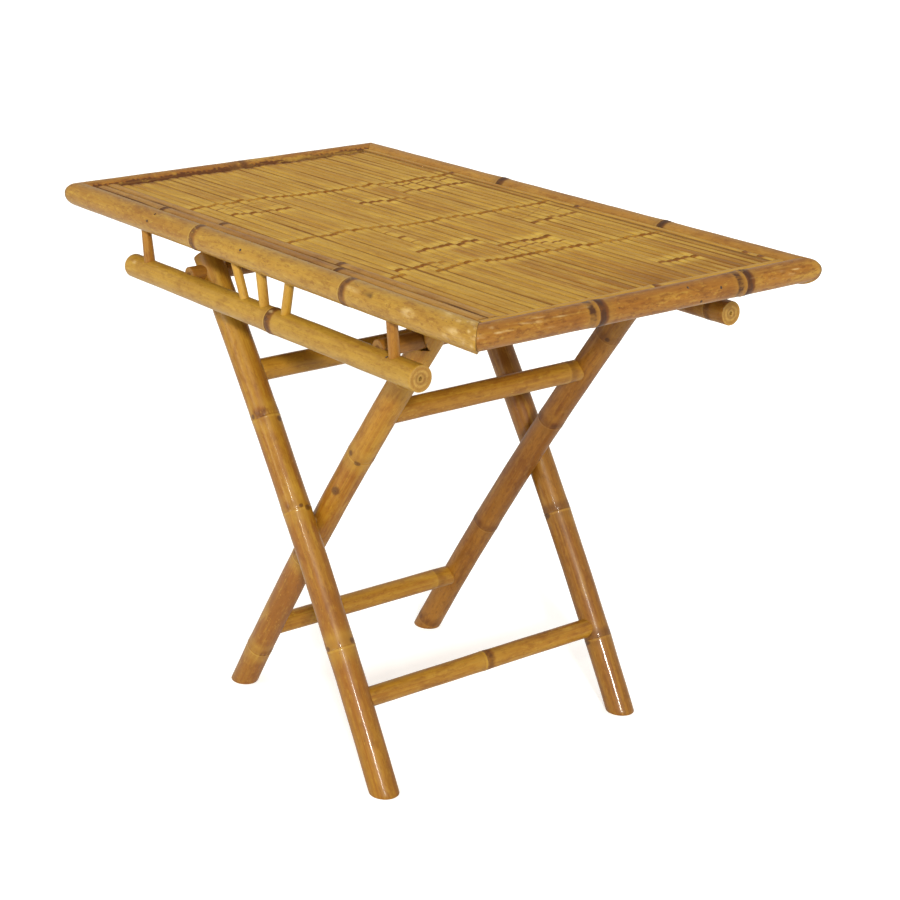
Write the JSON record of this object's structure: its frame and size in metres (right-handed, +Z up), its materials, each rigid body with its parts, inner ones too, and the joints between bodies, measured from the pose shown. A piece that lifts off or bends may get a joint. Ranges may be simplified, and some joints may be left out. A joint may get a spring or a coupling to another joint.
{
  "type": "folding bamboo table",
  "caption": "Bamboo folding table with a framed slatted top on two crossed leg frames that fold up flat under the top",
  "frame": {"origin": "on the floor under the middle of the table top", "axes": "+X along the length of the top towards the end where the inner legs rest, +Y across it, +Z up"},
  "size_m": [1.016, 0.57, 0.74],
  "materials": {
    "slat_bamboo": "clear varnish over golden bamboo, fine grain",
    "strip_bamboo": "clear varnish over golden bamboo, slightly greyed",
    "long_culm_bamboo": "clear varnish over golden bamboo",
    "short_culm_bamboo": "clear varnish over golden bamboo, redder",
    "batten_bamboo": "raw split bamboo",
    "rail_bamboo": "clear varnish over golden bamboo",
    "strut_bamboo": "clear varnish over golden bamboo",
    "bar_bamboo": "clear varnish over golden bamboo, darker",
    "leg_bamboo": "clear varnish over golden bamboo, brown patches",
    "stretcher_bamboo": "clear varnish over golden bamboo",
    "nail_steel": "dull dark wire nail heads"
  },
  "bodies": {
    "table_top": {"frame_culm_front": "long_culm_bamboo", "frame_culm_back": "long_culm_bamboo", "frame_culm_left": "short_culm_bamboo", "frame_culm_right": "short_culm_bamboo", "edge_strip_front_outer": "strip_bamboo", "edge_strip_front_inner": "strip_bamboo", "edge_strip_back": "strip_bamboo", "edge_strip_right": "strip_bamboo", "slat_set_1": "slat_bamboo", "slat_set_2": "slat_bamboo", "slat_set_3": "slat_bamboo", "slat_set_4": "slat_bamboo", "slat_set_5": "slat_bamboo", "support_batten_1": "batten_bamboo", "support_batten_2": "batten_bamboo", "support_batten_3": "batten_bamboo", "support_batten_4": "batten_bamboo", "apron_rail_front": "rail_bamboo", "apron_rail_back": "rail_bamboo", "apron_post_front_left": "strut_bamboo", "apron_post_front_right": "strut_bamboo", "apron_post_back_left": "strut_bamboo", "apron_post_back_right": "strut_bamboo", "fan_strut_front_left": "strut_bamboo", "fan_strut_front_middle": "strut_bamboo", "fan_strut_front_right": "strut_bamboo", "fan_strut_back_left": "strut_bamboo", "fan_strut_back_middle": "strut_bamboo", "fan_strut_back_right": "strut_bamboo", "axle_bar": "bar_bamboo", "rest_bar": "bar_bamboo", "corner_nails": "nail_steel"},
    "outer_frame": {"outer_leg_front": "leg_bamboo", "outer_leg_back": "leg_bamboo", "outer_stretcher_upper": "stretcher_bamboo", "outer_stretcher_lower": "stretcher_bamboo", "outer_stretcher_nails": "nail_steel", "pivot_pin_front": "bar_bamboo", "pivot_pin_back": "bar_bamboo"},
    "inner_frame": {"inner_leg_front": "leg_bamboo", "inner_leg_back": "leg_bamboo", "inner_stretcher_upper": "stretcher_bamboo", "inner_stretcher_lower": "stretcher_bamboo", "inner_stretcher_nails": "nail_steel"}
  },
  "joints": [
    {"name": "top_fold", "type": "hinge", "parent": "table_top", "child": "outer_frame", "pos_m": [-0.192, 0, 0.656], "axis": [0, -1, 0], "range_deg": [0, 50], "stiffness_Nm_per_rad": 12, "springref_deg": -143.24},
    {"name": "leg_cross", "type": "hinge", "parent": "outer_frame", "child": "inner_frame", "pos_m": [0.02407, 0, 0.3375], "axis": [0, 1, 0], "range_deg": [0, 100]}
  ],
  "couplings": [
    {"joint": "leg_cross", "follows": "top_fold", "ratio": 2}
  ]
}
